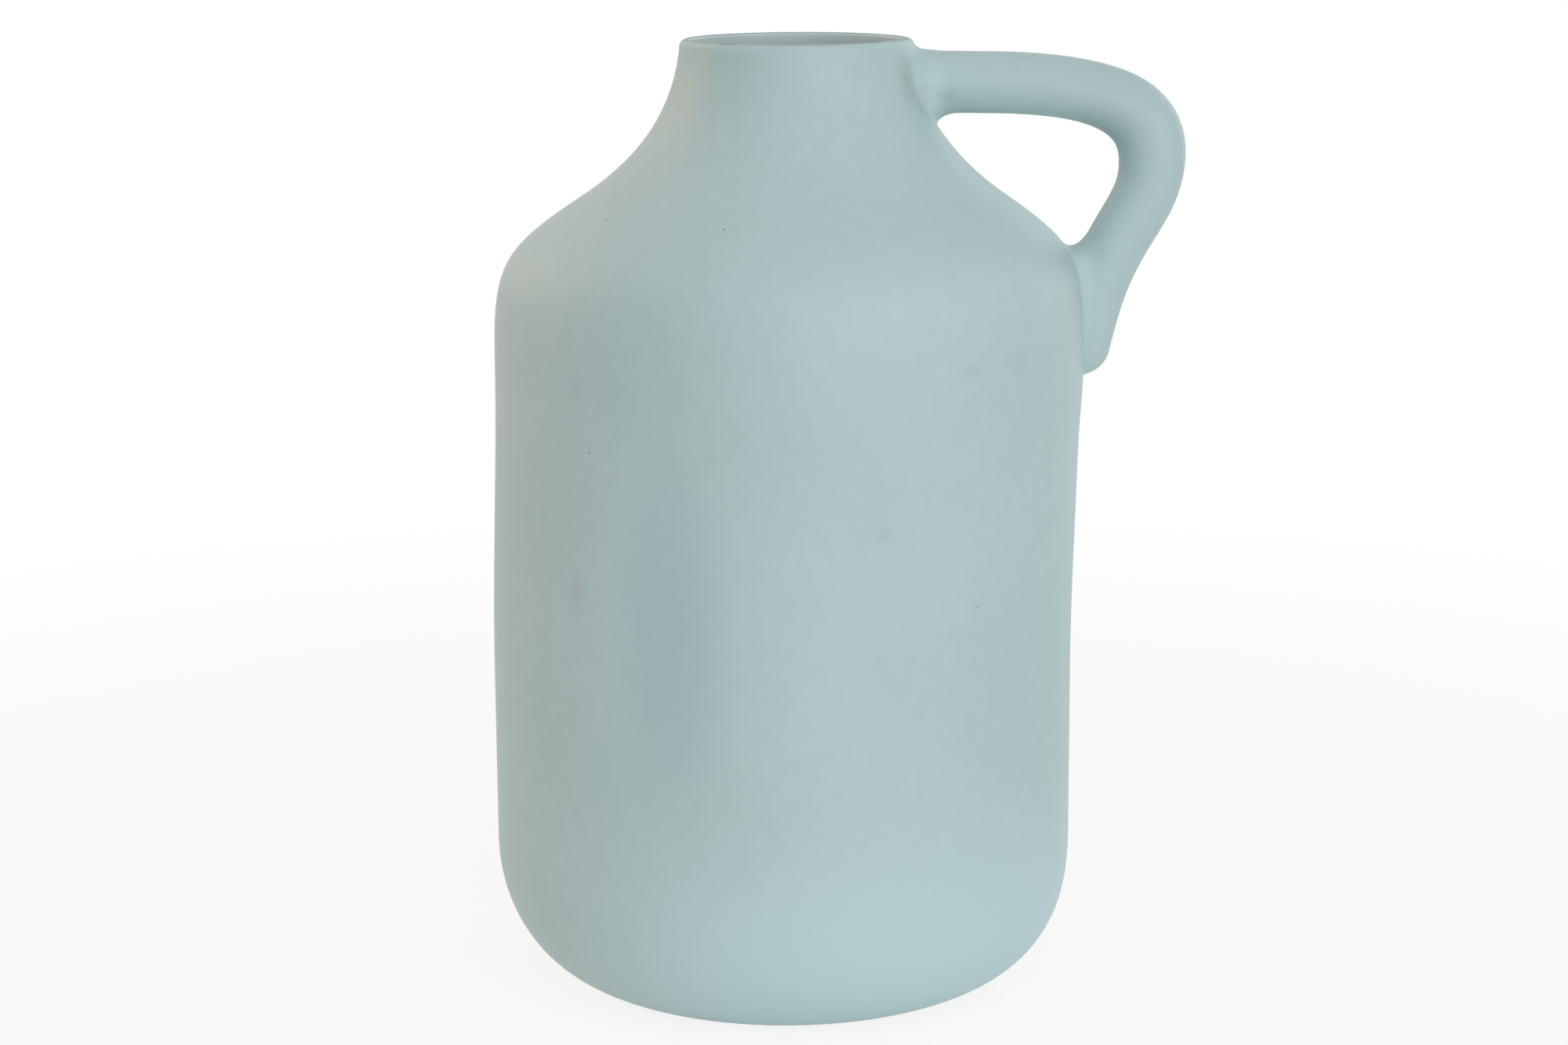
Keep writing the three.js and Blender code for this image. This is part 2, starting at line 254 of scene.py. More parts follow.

# Painted light and shade in broad patches, given as the marks are but with even edges: darker where the lamps
# leave the glaze in shade, paler where they light it
paintedLightAndShade = [
    ((-33, -86, 129), (22, 60, 68), "#A2BBC4", 0.5),  # painted shade: a darker band down the wall, where the lamps leave a gap between them
    ((103, -4, 283), (42, 40, 38), "#A6BCBE", 0.3),  # painted shade over the handle's bend
    ((97, 0, 270), (16, 30, 12), "#98AEB0", 0.5),  # and painted shade, darker still, under the bend
    ((47, -10, 281), (5, 14, 18), "#C4DDDE", 0.65),  # painted light on the slip at the neck, where it faces the lamps
]


# Mixes a mark's colour over the colour so far
def addMark(tree, place, wobble, color, mark):
    centre, reach, markColor, strength = mark
    fromCentre = {"operation": "SUBTRACT", 1: [v * mm for v in centre]}
    away = addNode(tree, "ShaderNodeVectorMath", fromCentre, {0: place})
    inReaches = {"operation": "MULTIPLY", 1: [1 / v / mm for v in reach]}
    shape = addNode(tree, "ShaderNodeVectorMath", inReaches, {0: away.outputs[0]})
    shaken = addNode(tree, "ShaderNodeVectorMath", {"operation": "ADD"}, {0: shape.outputs[0], 1: wobble})
    far = addNode(tree, "ShaderNodeVectorMath", {"operation": "LENGTH"}, {0: shaken.outputs[0]})
    fade = easedRange | {"From Max": glaze["markEdge"], "To Min": strength, "To Max": 0}
    share = addNode(tree, "ShaderNodeMapRange", fade, {"Value": far.outputs["Value"]})
    paint = {"data_type": "RGBA", 7: linearColor(markColor)}
    return addNode(tree, "ShaderNodeMix", paint, {0: share.outputs[0], 6: color}).outputs[2]


def makeGlaze():
    g = glaze
    material = bpy.data.materials.new("satin_matt_stoneware_glaze")
    material.use_nodes = True
    tree = material.node_tree
    shader = tree.nodes["Principled BSDF"]
    place = addNode(tree, "ShaderNodeTexCoord").outputs["Object"]
    axes = addNode(tree, "ShaderNodeSeparateXYZ", None, {0: place}).outputs

    # Colour: clouds of thicker coat and a fine mottle
    cloudNoise = {"Scale": 1 / g["cloudSize"], "Detail": 2}
    clouds = addNode(tree, "ShaderNodeTexNoise", cloudNoise, {"Vector": place}).outputs["Fac"]
    cloudRange = easedRange | {"From Min": g["cloudEdges"][0], "From Max": g["cloudEdges"][1]}
    cloudShare = addNode(tree, "ShaderNodeMapRange", cloudRange, {"Value": clouds})
    coatColors = {"data_type": "RGBA", 6: linearColor(g["thinColor"]), 7: linearColor(g["thickColor"])}
    coat = addNode(tree, "ShaderNodeMix", coatColors, {0: cloudShare.outputs[0]})
    mottleNoise = {"Scale": 1 / g["mottleSize"], "Detail": 3}
    mottle = addNode(tree, "ShaderNodeTexNoise", mottleNoise, {"Vector": place}).outputs["Fac"]
    mottleRange = {"To Min": 1 - g["mottleShare"], "To Max": 1 + g["mottleShare"]}
    mottleGain = addNode(tree, "ShaderNodeMapRange", mottleRange, {"Value": mottle})
    mottleLinks = {0: coat.outputs[2], "Scale": mottleGain.outputs[0]}
    mottled = addNode(tree, "ShaderNodeVectorMath", {"operation": "SCALE"}, mottleLinks)

    # Colour: the heel and the inside painted paler as painted light, and the lip's edge darker, partly
    # painted shade
    heelRange = easedRange | {"From Min": g["heelHeights"][0], "From Max": g["heelHeights"][1]}
    heelLow = addNode(tree, "ShaderNodeMapRange", heelRange, {"Value": axes["Z"]})
    sideRange = easedRange | {"From Min": g["heelSide"][0], "From Max": g["heelSide"][1]}
    heelSide = addNode(tree, "ShaderNodeMapRange", sideRange, {"Value": axes["X"]})
    bothShares = {0: heelLow.outputs[0], 1: heelSide.outputs[0]}
    heelLightShare = addNode(tree, "ShaderNodeMath", {"operation": "MULTIPLY"}, bothShares)
    heelPaintedLight = {"data_type": "RGBA", 7: linearColor(g["heelPaintedLight"])}
    heel = addNode(tree, "ShaderNodeMix", heelPaintedLight, {0: heelLightShare.outputs[0], 6: mottled.outputs[0]})
    # painted light: the inner wall is mixed paler, as if more light fell into the mouth
    inside = addNode(tree, "ShaderNodeAttribute", {"attribute_name": "inside"})
    insidePaintedLight = {"data_type": "RGBA", 7: linearColor(g["insidePaintedLight"])}
    insideLit = addNode(tree, "ShaderNodeMix", insidePaintedLight, {0: inside.outputs["Fac"], 6: heel.outputs[2]})
    # darker at the lip's edge: the coat thinning there, and painted shade of its inner edge
    lipRange = easedRange | {
        "From Min": g["lipHeights"][0],
        "From Max": g["lipHeights"][1],
        "To Max": g["lipShare"],
    }
    lipShare = addNode(tree, "ShaderNodeMapRange", lipRange, {"Value": axes["Z"]})
    lipLinks = {0: lipShare.outputs[0], 1: mottle}
    lipThinAndShaded = addNode(tree, "ShaderNodeMath", {"operation": "MULTIPLY"}, lipLinks)
    lipColor = {"data_type": "RGBA", 7: linearColor(g["lipColor"])}
    lip = addNode(tree, "ShaderNodeMix", lipColor, {0: lipThinAndShaded.outputs[0], 6: insideLit.outputs[2]})

    # Colour: broad patches of painted light and shade, marks with uneven edges (some of them painted shade
    # beside the handle's root), and pinholes
    color = lip.outputs[2]
    still = addNode(tree, "ShaderNodeCombineXYZ").outputs[0]
    # painted light and shade, mixed over the colour in broad patches
    for tint in paintedLightAndShade:
        color = addMark(tree, place, still, color, tint)
    wobbleScale = {"Scale": 1 / g["markWobbleSize"], "Detail": 2}
    wobbleNoise = addNode(tree, "ShaderNodeTexNoise", wobbleScale, {"Vector": place})
    aroundZero = {"operation": "MULTIPLY_ADD", 1: [g["markWobble"]] * 3, 2: [-g["markWobble"] / 2] * 3}
    wobble = addNode(tree, "ShaderNodeVectorMath", aroundZero, {0: wobbleNoise.outputs["Color"]}).outputs[0]
    for mark in marksAndPaintedShade:
        color = addMark(tree, place, wobble, color, mark)
    holes = addNode(tree, "ShaderNodeTexVoronoi", {"Scale": 1 / g["pinholeSpacing"]}, {"Vector": place})
    holeEdge = g["pinholeRadius"] / g["pinholeSpacing"]
    holeRange = easedRange | {"From Min": holeEdge, "From Max": holeEdge * g["pinholeFloor"]}
    hole = addNode(tree, "ShaderNodeMapRange", holeRange, {"Value": holes.outputs["Distance"]}).outputs[0]
    holeColor = {"data_type": "RGBA", 7: linearColor(g["pinholeColor"])}
    pitted = addNode(tree, "ShaderNodeMix", holeColor, {0: hole, 6: color})

    # The bare foot, with rings round the axis that wander a little
    flat = addNode(tree, "ShaderNodeVectorMath", {"operation": "MULTIPLY", 1: (1, 1, 0)}, {0: place})
    out = addNode(tree, "ShaderNodeVectorMath", {"operation": "LENGTH"}, {0: flat.outputs[0]})
    wander = {"operation": "MULTIPLY_ADD", 1: g["ringWander"]}
    wavy = addNode(tree, "ShaderNodeMath", wander, {0: clouds, 2: out.outputs["Value"]})
    toTurns = {"operation": "MULTIPLY", 1: math.tau / g["ringWidth"]}
    turns = addNode(tree, "ShaderNodeMath", toTurns, {0: wavy.outputs[0]})
    ring = addNode(tree, "ShaderNodeMath", {"operation": "SINE"}, {0: turns.outputs[0]}).outputs[0]
    speckNoise = {"Scale": 1 / g["speckSize"], "Detail": 4}
    speck = addNode(tree, "ShaderNodeTexNoise", speckNoise, {"Vector": place})
    clayColors = {"data_type": "RGBA", 6: linearColor(g["clayColor"]), 7: linearColor(g["clayDarkColor"])}
    clay = addNode(tree, "ShaderNodeMix", clayColors, {0: speck.outputs["Fac"]})
    bareRange = {"From Min": g["clayHeights"][0], "From Max": g["clayHeights"][1]}
    bare = addNode(tree, "ShaderNodeMapRange", bareRange, {"Value": axes["Z"]}).outputs[0]
    surfaceLinks = {0: bare, 6: pitted.outputs[2], 7: clay.outputs[2]}
    surface = addNode(tree, "ShaderNodeMix", {"data_type": "RGBA"}, surfaceLinks)
    tree.links.new(surface.outputs[2], shader.inputs["Base Color"])

    # Sheen: a little duller where the mottle is dry, and the clay has none
    sheenRange = {"To Min": g["roughness"][0], "To Max": g["roughness"][1]}
    sheen = addNode(tree, "ShaderNodeMapRange", sheenRange, {"Value": mottle})
    clayDull = {"data_type": "FLOAT", 3: g["clayRoughness"]}
    dull = addNode(tree, "ShaderNodeMix", clayDull, {0: bare, 2: sheen.outputs[0]})
    tree.links.new(dull.outputs[0], shader.inputs["Roughness"])

    # Relief: grain, slow waves, pinholes, and the foot's rings
    grain = addNode(tree, "ShaderNodeTexNoise", {"Scale": 1 / g["grainSize"], "Detail": 3}, {"Vector": place})
    peel = addNode(tree, "ShaderNodeTexNoise", {"Scale": 1 / g["peelSize"], "Detail": 1}, {"Vector": place})
    rings = addNode(tree, "ShaderNodeMath", {"operation": "MULTIPLY"}, {0: ring, 1: bare}).outputs[0]
    layers = [
        (grain.outputs["Fac"], g["grainDepth"], False),
        (peel.outputs["Fac"], g["peelDepth"], False),
        (hole, g["pinholeDepth"], True),
        (rings, g["ringDepth"], False),
    ]
    normal = None
    for relief, depth, sunk in layers:
        below = {"Normal": normal} if normal else {}
        settings = {"Distance": depth, "invert": sunk}
        normal = addNode(tree, "ShaderNodeBump", settings, {"Height": relief} | below).outputs[0]
    tree.links.new(normal, shader.inputs["Normal"])
    return material


stonewareGlaze = makeGlaze()
print("materials made")

# The thrown body. Heights are stacked from the foot to the top of the lip.
vaseBody = {
    "footRadius": 62.3 * mm,
    "bodyRadius": 92.5 * mm,
    "heelHeight": 45.3 * mm,
    "wallHeight": 158 * mm,
    "shoulderHeight": 47.3 * mm,
    "neckHeight": 47.1 * mm,
    "lipOuterRound": 2.3 * mm,
    "turnRadius": 67.2 * mm,  # where the shoulder turns into the neck
    "mouthRadius": 35.9 * mm,  # outside of the neck, just under the lip
    "heelRise": 12.3,  # degrees between the heel and the ground, at the foot
    "turnSlope": 55.9,  # degrees from upright, where the shoulder is flattest
    "neckTaper": 6,  # degrees from upright, under the lip
    "heelPulls": (15.1 * mm, 28.5 * mm),  # how far each curve's ends run on before they turn
    "shoulderPulls": (27.5 * mm, 28.5 * mm),
    "neckPulls": (19.5 * mm, 22 * mm),
    "lipInnerRound": 1 * mm,
    "wallThickness": 5 * mm,
    "floorThickness": 7 * mm,
    "innerHeelPulls": (26 * mm, 14 * mm),
    "footShift": 1.4 * mm,  # the trimmed foot stands off the wall's axis
    "leanStart": 101 * mm,
    "wallLean": 2.3 * mm,  # the pot leans towards its handle
    "neckLean": 2.7 * mm,
    # The clay stands out where the handle's tip was pressed on, and the lip is drawn to the handle: how far,
    # and the radius, height and reach of each
    "bulges": (
        (1.1 * mm, 92.5 * mm, 200 * mm, 30 * mm),
        (1.2 * mm, 35.9 * mm, 297 * mm, 24 * mm),
    ),
    "sides": 192,
    "heelRings": 30,
    "wallRings": 40,
    "shoulderRings": 34,
    "neckRings": 32,
    "lipRings": 9,
    "floorRings": 6,
    "footRings": 6,
}

wallTop = vaseBody["heelHeight"] + vaseBody["wallHeight"]
turnTop = wallTop + vaseBody["shoulderHeight"]
lipStart = turnTop + vaseBody["neckHeight"]
lipTop = lipStart + vaseBody["lipOuterRound"]
lipCentre = vaseBody["mouthRadius"] - vaseBody["lipOuterRound"]


def leanAt(z):
    overHeel = smoothstep(z, 0, vaseBody["heelHeight"])
    upWall = smoothstep(z, vaseBody["leanStart"], wallTop)
    upNeck = smoothstep(z, wallTop, (turnTop + lipStart) / 2)
    lean = vaseBody["wallLean"] * upWall + vaseBody["neckLean"] * upNeck
    return lean - vaseBody["footShift"] * overHeel


def bulgeAt(p):
    total = 0
    for push, radius, height, reach in vaseBody["bulges"]:
        middle = Vector((radius + leanAt(height), 0, height))
        total += push * smoothstep(reach - (p - middle).length, 0, reach)
    return total


# Outside of the body as (radius, height), from the foot's edge to the top of the lip
def outerProfile(fineness=1):
    b = vaseBody
    foot = Vector((b["footRadius"], 0))
    wallStart = Vector((b["bodyRadius"], b["heelHeight"]))
    wallEnd = Vector((b["bodyRadius"], wallTop))
    turn = Vector((b["turnRadius"], turnTop))
    lip = Vector((b["mouthRadius"], lipStart))
    up = Vector((0, 1))
    overFoot = foot + leaning(b["heelRise"] - 90) * b["heelPulls"][0]
    underWall = wallStart - up * b["heelPulls"][1]
    overWall = wallEnd + up * b["shoulderPulls"][0]
    underTurn = turn - leaning(b["turnSlope"]) * b["shoulderPulls"][1]
    overTurn = turn + leaning(b["turnSlope"]) * b["neckPulls"][0]
    underLip = lip - leaning(b["neckTaper"]) * b["neckPulls"][1]
    wall = [wallStart.lerp(wallEnd, i / b["wallRings"]) for i in range(1, b["wallRings"])]
    points = bezier(foot, overFoot, underWall, wallStart, b["heelRings"] * fineness) + wall
    points += bezier(wallEnd, overWall, underTurn, turn, b["shoulderRings"] * fineness)
    points += bezier(turn, overTurn, underLip, lip, b["neckRings"] * fineness)[1:]
    lipRound = Vector((lipCentre, lipStart))
    points += arc(lipRound, b["lipOuterRound"], 0, 90, b["lipRings"] * fineness)[1:]
    return points


bodyLine = outerProfile(4)  # four times as fine, to measure on the surface
bodyLineR = np.array([p.x for p in bodyLine])
bodyLineZ = np.array([p.y for p in bodyLine])


def radiusAt(z):
    return float(np.interp(z, bodyLineZ, bodyLineR))


# Each point of a profile moved along its outward normal
def offsetProfile(points, distanceAt):
    moved = []
    for i, p in enumerate(points):
        along = (points[min(i + 1, len(points) - 1)] - points[max(i - 1, 0)]).normalized()
        moved.append(p + Vector((along.y, -along.x)) * distanceAt(p.y))
    return moved


def wallAt(z):
    b = vaseBody
    lipThickness = b["lipOuterRound"] + b["lipInnerRound"]
    return b["wallThickness"] + (lipThickness - b["wallThickness"]) * smoothstep(z, wallTop, lipStart)


# Inside of the body, from the top of the lip to the middle of the floor
def innerProfile(outer):
    b = vaseBody
    lipRound = Vector((lipCentre, lipTop - b["lipInnerRound"]))
    lip = arc(lipRound, b["lipInnerRound"], 90, 180, b["lipRings"])
    moved = offsetProfile(outer, lambda z: -wallAt(z))
    wall = [q for p, q in zip(outer, moved) if b["heelHeight"] <= p.y < lipStart]
    wall.reverse()
    floorEdge = Vector((b["footRadius"] - b["wallThickness"], b["floorThickness"]))
    underWall = wall[-1] - Vector((0, b["innerHeelPulls"][0]))
    overFloor = floorEdge + Vector((b["innerHeelPulls"][1], 0))
    heel = bezier(wall[-1], underWall, overFloor, floorEdge, b["heelRings"])
    rings = b["floorRings"]
    floor = [Vector((floorEdge.x * (1 - i / rings), floorEdge.y)) for i in range(1, rings)]
    return lip[1:] + wall + heel[1:] + floor


# Draws rings along a profile, from the ring that is selected
def drawAlong(profile):
    for before, after in zip(profile, profile[1:]):
        move = (leanAt(after.y) - leanAt(before.y), 0, after.y - before.y)
        nextRing(move, after.x / before.x, (leanAt(after.y), 0, after.y))


def throwBody():
    outer = outerProfile()
    footEdge = outer[0].x
    piece = startRing("thrownBody", vaseBody["sides"], footEdge, (leanAt(0), 0, 0))
    drawAlong(outer + innerProfile(outer))
    closeRing()
    selectOpenEdges()  # the foot's edge, from which the underside is drawn
    rings = vaseBody["footRings"]
    drawAlong([Vector((footEdge * (1 - i / rings), 0)) for i in range(rings)])
    closeRing()
    turnFacesOut()
    inside = piece.data.attributes.new("inside", "FLOAT", "POINT")  # 0 on the outside and 1 on the inner wall
    for vertex, share in zip(piece.data.vertices, inside.data):
        x, y, z = vertex.co
        depth = radiusAt(z) - math.hypot(x - leanAt(z), y)
        share.value = smoothstep(depth, *glaze["insideDepth"])
        vertex.co.x += bulgeAt(vertex.co)
    finishPiece(piece, "vase_body", stonewareGlaze)


throwBody()

# The handle: a rolled rod of clay, bent into a loop
rodHandle = {
    "rodRadius": 9.6 * mm,
    "rootFlare": 0.5 * mm,  # the rod spreads a little where it meets the neck
    "rootFlareLength": 9 * mm,
    "bendSwell": 1.1 * mm,  # the rod is thicker where it bends down
    "bendSwellLength": 16 * mm,
    "bendSwellLead": 8 * mm,
    "armDrop": 13.6 * mm,  # from the lip's top down to the arm's centre line
    "armLength": 24 * mm,
    "armFall": 1,  # degrees
    "reach": 21.9 * mm,  # from the wall's top out to the bend
    "bendDrop": 37.5 * mm,
    "elbowRise": 33 * mm,
    "elbowReach": 11.6 * mm,
    "elbowSlope": 29,  # degrees from upright
    "tailSlope": 13,
    "tailDrop": 9.2 * mm,  # from the wall's top down to the rod's tip
    "tailSink": 2.3 * mm,
    "bendPulls": (37 * mm, 14.5 * mm),
    "elbowPulls": (11 * mm, 14 * mm),  # above the elbow and under it
    "tailPull": 24 * mm,
    "sides": 72,
    "step": 1.4 * mm,
    "endRings": 14,
    "keyDepth": 1.5 * mm,  # how far the rod's ends are pressed into the wall
    "mergeDistance": 0.002 * mm,  # the cut leaves a point twice at the rod's tip
    "routeSteps": 400,  # for each of the centre line's four parts
    "headingSpan": 0.2 * mm,  # to either side of a place, where its direction is taken
}


def centreLine():
    h = rodHandle
    fall = math.radians(h["armFall"])
    outwards = Vector((math.cos(fall), -math.sin(fall)))
    rootZ = lipTop - h["armDrop"]
    root = Vector((radiusAt(rootZ) + leanAt(rootZ), rootZ))
    start = root - outwards * h["rodRadius"]
    armEnd = root + outwards * h["armLength"]
    wallX = vaseBody["bodyRadius"] + leanAt(wallTop)
    bend = Vector((wallX + h["reach"], lipTop - h["bendDrop"]))
    elbow = Vector((wallX + h["elbowReach"], wallTop + h["elbowRise"]))
    tipZ = wallTop - h["tailDrop"]
    tip = Vector((vaseBody["bodyRadius"] + leanAt(tipZ) - h["tailSink"], tipZ))
    down = Vector((0, -1))
    elbowDown = -leaning(-h["elbowSlope"])
    tailDown = -leaning(-h["tailSlope"])
    steps = h["routeSteps"]
    points = [start.lerp(armEnd, i / steps) for i in range(steps)]
    overBend = armEnd + outwards * h["bendPulls"][0]
    besideBend = bend - down * h["bendPulls"][1]
    points += bezier(armEnd, overBend, besideBend, bend, steps)
    bendIndex = len(points) - 1
    underBend = bend + down * h["elbowPulls"][0]
    overElbow = elbow - elbowDown * h["elbowPulls"][0]
    points += bezier(bend, underBend, overElbow, elbow, steps)[1:]
    underElbow = elbow + elbowDown * h["elbowPulls"][1]
    overTip = tip - tailDown * h["tailPull"]
    points += bezier(elbow, underElbow, overTip, tip, steps)[1:]
    route = np.array([(p.x, p.y) for p in points])
    places = np.concatenate([[0], np.cumsum(np.linalg.norm(np.diff(route, axis=0), axis=1))])
    return route, places, places[bendIndex]


route, routePlaces, bendPlace = centreLine()
rodLength = routePlaces[-1]


def rodRadiusAt(place):
    h = rodHandle
    fromThickest = (place - bendPlace + h["bendSwellLead"]) / h["bendSwellLength"]
    flare = 1 - smoothstep(place - h["rodRadius"], 0, h["rootFlareLength"])
    return h["rodRadius"] + h["rootFlare"] * flare + h["bendSwell"] * math.exp(-(fromThickest**2))


def onRoute(place):
    return Vector((np.interp(place, routePlaces, route[:, 0]), 0, np.interp(place, routePlaces, route[:, 1])))


def headingAt(place):  # angle from +X down towards -Z
    span = rodHandle["headingSpan"]
    ahead = onRoute(min(place + span, rodLength)) - onRoute(max(place - span, 0))
    return math.atan2(-ahead.z, ahead.x)


def rollRod():
    h = rodHandle
    roundStart = rodLength - h["rodRadius"]
    count = round(roundStart / h["step"])
    stations = [(roundStart * i / count, rodRadiusAt(roundStart * i / count)) for i in range(count + 1)]
    for i in range(1, h["endRings"]):
        angle = math.pi / 2 * i / h["endRings"]
        stations.append((roundStart + h["rodRadius"] * math.sin(angle), h["rodRadius"] * math.cos(angle)))
    place, radius = stations[0]
    heading = headingAt(place)
    piece = startRing("rodHandle", h["sides"], radius, onRoute(place), (0, math.pi / 2 + heading, 0))
    centre = onRoute(place)
    for nextPlace, nextRadius in stations[1:]:
        nextCentre = onRoute(nextPlace)
        nextHeading = headingAt(nextPlace)
        nextRing(nextCentre - centre, nextRadius / radius, nextCentre, nextHeading - heading)
        centre, radius, heading = nextCentre, nextRadius, nextHeading
    closeTube()
    return piece


# The room inside the body's wall, a little under its surface, which the rod's ends don't reach
def innerRoom(depth):
    inset = offsetProfile(outerProfile(), lambda z: -depth)
    inset = [p for p in inset if p.y > depth]
    bottom = inset[0].y
    piece = startRing("innerRoom", vaseBody["sides"], inset[0].x, (leanAt(bottom), 0, bottom))
    drawAlong(inset)
    closeTube()
    return piece


def bendHandle():
    piece = rollRod()
    room = innerRoom(rodHandle["keyDepth"])
    selectOnly(piece)
    cut = piece.modifiers.new("ends cut at the wall", "BOOLEAN")
    cut.operation = "DIFFERENCE"
    cut.solver = "EXACT"
    cut.object = room
    bpy.ops.object.modifier_apply(modifier=cut.name)
    bpy.data.objects.remove(room)
    bpy.ops.object.mode_set(mode="EDIT")
    bpy.ops.mesh.select_all(action="SELECT")
    bpy.ops.mesh.remove_doubles(threshold=rodHandle["mergeDistance"])
    bpy.ops.object.mode_set(mode="OBJECT")
    finishPiece(piece, "handle", stonewareGlaze)


bendHandle()

# The slip joints: the fillet that a finger leaves round each root. A ball is rolled along the root, touching
# both surfaces, and each of its stops gives one section between the two. Where a row has three values, they
# are for the rod's far side, for its sides, and for the crotch on the finger gap.
neckSlip = {
    "startOffset": 5 * mm,  # the ball starts this far out from the wall, and as far beyond the rod
    "heights": (300 * mm, 273 * mm),  # of the ball's centre, at the far side and in the crotch
    "radius": (3.6 * mm, 4 * mm, 2.6 * mm),
    "spread": (1 * mm, 2 * mm, 4.5 * mm),  # the fillet runs on this far along the rod
    "crease": (0, 0, 0),  # 0 is round, and more is sharper
}

shoulderSlip = {
    "startOffset": 2 * mm,
    "heights": (192 * mm, 240 * mm),
    "radius": (1 * mm, 3 * mm, 4.1 * mm),
    "spread": (0.3 * mm, 2 * mm, 3.5 * mm),
    "crease": (0, 0, 0.3),
}

bothSlips = {
    "step": 0.5 * mm,  # along the root
    "stops": (10, 2000),  # fewest and most of one round
    "settlings": 12,  # moves of the ball at each stop, after which it touches both surfaces
    "touching": 0.001 * mm,  # nearer to the body than this counts as on its surface
    "arcSteps": 18,
    "depth": 1 * mm,  # of the hidden side under the two surfaces
    "guardLength": 0.9 * mm,  # the edge runs on this far as it dives under
    "guardDepth": 0.03 * mm,
    "guardShares": (0.33, 0.67, 1),  # of that length, where the edge has its points
    "blankRadii": (12 * mm, 3 * mm),  # of the plain ring that the sections are laid on
}


# Distance of a point from the body's surface, and the surface's normal there
def fromBody(p):
    lean = leanAt(p.z)
    r = math.hypot(p.x - lean, p.y)
    ar, az = bodyLineR[:-1], bodyLineZ[:-1]
    dr, dz = np.diff(bodyLineR), np.diff(bodyLineZ)
    t = np.clip(((r - ar) * dr + (p.z - az) * dz) / (dr**2 + dz**2), 0, 1)
    gr, gz = r - ar - t * dr, p.z - az - t * dz
    i = int(np.argmin(gr**2 + gz**2))
    side = gr[i] * dz[i] - gz[i] * dr[i]
    distance = math.copysign(math.hypot(gr[i], gz[i]), side)
    nr, nz = dz[i], -dr[i]
    if abs(distance) > bothSlips["touching"]:
        nr, nz = gr[i] / distance, gz[i] / distance
    normal = Vector(((p.x - lean) / r * nr, p.y / r * nr, nz)).normalized()
    return distance - bulgeAt(p) * normal.x, normal


def fromRod(p):
    last = np.searchsorted(routePlaces, rodLength - rodHandle["rodRadius"])
    a = route[:last]
    d = np.diff(route[: last + 1], axis=0)
    q = np.array([p.x, p.z]) - a
    t = np.clip((q * d).sum(1) / (d**2).sum(1), 0, 1)
    off = q - t[:, None] * d
    i = int(np.argmin((off**2).sum(1)))
    away = Vector((off[i][0], p.y, off[i][1]))
    place = routePlaces[i] + t[i] * math.hypot(*d[i])
    return away.length - rodRadiusAt(place), away.normalized(), place


# A joint's value at a place round its root
def atRoot(p, joint, name):
    farHeight, crotchHeight = joint["heights"]
    t = (p.z - farHeight) / (crotchHeight - farHeight)
    far, side, crotch = joint[name]
    return side + (far - side) * smoothstep(0.5 - t, 0, 0.5) + (crotch - side) * smoothstep(t - 0.5, 0, 0.5)


# Moves a ball's centre until it touches both surfaces
def settleBall(p, joint):
    for i in range(bothSlips["settlings"]):
        radius = atRoot(p, joint, "radius")
        bodyDistance, bodyNormal = fromBody(p)
        rodDistance, rodNormal, place = fromRod(p)
        both = np.array([bodyNormal[:], rodNormal[:]])
        missing = np.array([radius - bodyDistance, radius - rodDistance])
        p = p + Vector(np.linalg.lstsq(both, missing, rcond=None)[0])
    return p


# Centres of a ball rolled once round a root
def rollBall(start, joint):
    fewest, most = bothSlips["stops"]
    centres = [settleBall(start, joint)]
    for i in range(most):
        here = centres[-1]
        bodyNormal = fromBody(here)[1]
        rodNormal = fromRod(here)[1]
        along = bodyNormal.cross(rodNormal).normalized()
        centres.append(settleBall(here + along * bothSlips["step"], joint))
        if i > fewest and (centres[-1] - centres[0]).length < bothSlips["step"]:
            break
    return centres[:-1]


def sunkUnder(surface, p, depth):
    distance, normal = surface(p)[:2]
    return p - normal * (distance + depth)


# One section of the fillet: over the curve between the two surfaces, then back under them by way of the root
def filletSection(centre, joint):
    s = bothSlips
    radius = atRoot(centre, joint, "radius")
    bodyNormal = fromBody(centre)[1]
    rodNormal = fromRod(centre)[1]
    bodyAway = (rodNormal - bodyNormal * bodyNormal.dot(rodNormal)).normalized()
    rodAway = (bodyNormal - rodNormal * rodNormal.dot(bodyNormal)).normalized()
    onBody = sunkUnder(fromBody, centre - bodyNormal * radius, 0)
    onRod = sunkUnder(fromRod, centre - rodNormal * radius + rodAway * atRoot(centre, joint, "spread"), 0)
    rodNormal = fromRod(onRod)[1]
    rodAway = (bodyNormal - rodNormal * rodNormal.dot(bodyNormal)).normalized()
    root = onRod - rodAway * ((onRod - onBody).dot(bodyNormal) / rodAway.dot(bodyNormal))
    pull = math.cos(bodyNormal.angle(rodNormal) / 2) * (1 + atRoot(centre, joint, "crease"))
    section = []
    for i in range(s["arcSteps"] + 1):
        t = i / s["arcSteps"]
        shares = ((1 - t) ** 2, 2 * t * (1 - t) * pull, t**2)
        section.append((onBody * shares[0] + root * shares[1] + onRod * shares[2]) / sum(shares))
    for u in s["guardShares"]:
        section.append(sunkUnder(fromRod, onRod + rodAway * s["guardLength"] * u, s["guardDepth"] * u**2))
    section.append(onRod - rodNormal * s["depth"])
    section.append(root - (bodyNormal + rodNormal).normalized() * s["depth"])
    section.append(onBody - bodyNormal * s["depth"])
    for u in reversed(s["guardShares"]):
        section.append(sunkUnder(fromBody, onBody + bodyAway * s["guardLength"] * u, s["guardDepth"] * u**2))
    return section


